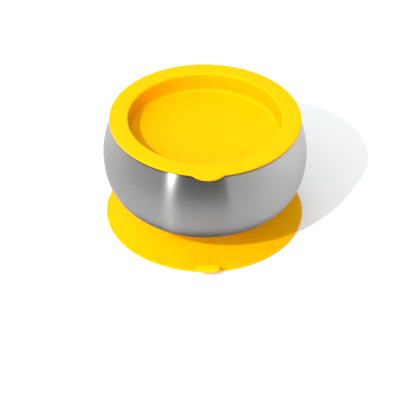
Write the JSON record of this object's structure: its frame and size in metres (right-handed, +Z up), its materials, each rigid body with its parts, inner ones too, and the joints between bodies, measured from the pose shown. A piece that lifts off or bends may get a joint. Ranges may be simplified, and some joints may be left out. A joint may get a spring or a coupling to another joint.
{
  "type": "suction bowl",
  "caption": "Round double-walled steel feeding bowl with a silicone suction base, release tab and a silicone plug lid with a pull tab.",
  "frame": {"origin": "on the table, on the bowl's axis: the centre of the suction disc's flat sealing ring", "axes": "+Z up along the bowl's axis, -Y towards the side with the release tab and the lid's pull tab, +X to the right seen from there"},
  "size_m": [0.12, 0.1245, 0.0682],
  "materials": {
    "steel": "fine circular brushing, satin",
    "silicone": "soft matt yellow food-grade silicone"
  },
  "bodies": {
    "suction_base": {"suction_skirt": "silicone"},
    "base_hub": {"suction_hub": "silicone", "collar_lip": "silicone"},
    "release_flap": {"release_tab": "silicone"},
    "bowl": {"outer_shell": "steel", "inner_bowl": "steel", "foot_ring": "steel"},
    "lid": {"lid": "silicone"},
    "lid_flap": {"lid_pull_tab": "silicone"}
  },
  "joints": [
    {"name": "suction_press", "type": "slide", "parent": "suction_base", "child": "base_hub", "axis": [0, 0, -1], "range_m": [0, 0.003], "deforming": ["suction_skirt"]},
    {"name": "release_tab_flex", "type": "hinge", "parent": "suction_base", "child": "release_flap", "pos_m": [0, -0.0592, 0.0052], "axis": [-1, 0, 0], "range_deg": [0, 45], "stiffness_Nm_per_rad": 0.02},
    {"name": "bowl_lift", "type": "slide", "parent": "base_hub", "child": "bowl", "axis": [0, 0, 1], "range_m": [0, 0.03], "deforming": ["collar_lip"]},
    {"name": "lid_lift", "type": "slide", "parent": "bowl", "child": "lid", "axis": [0, 0, 1], "range_m": [0, 0.04]},
    {"name": "lid_tab_flex", "type": "hinge", "parent": "lid", "child": "lid_flap", "pos_m": [0, -0.056, 0.068], "axis": [-1, 0, 0], "range_deg": [0, 60], "stiffness_Nm_per_rad": 0.02}
  ]
}
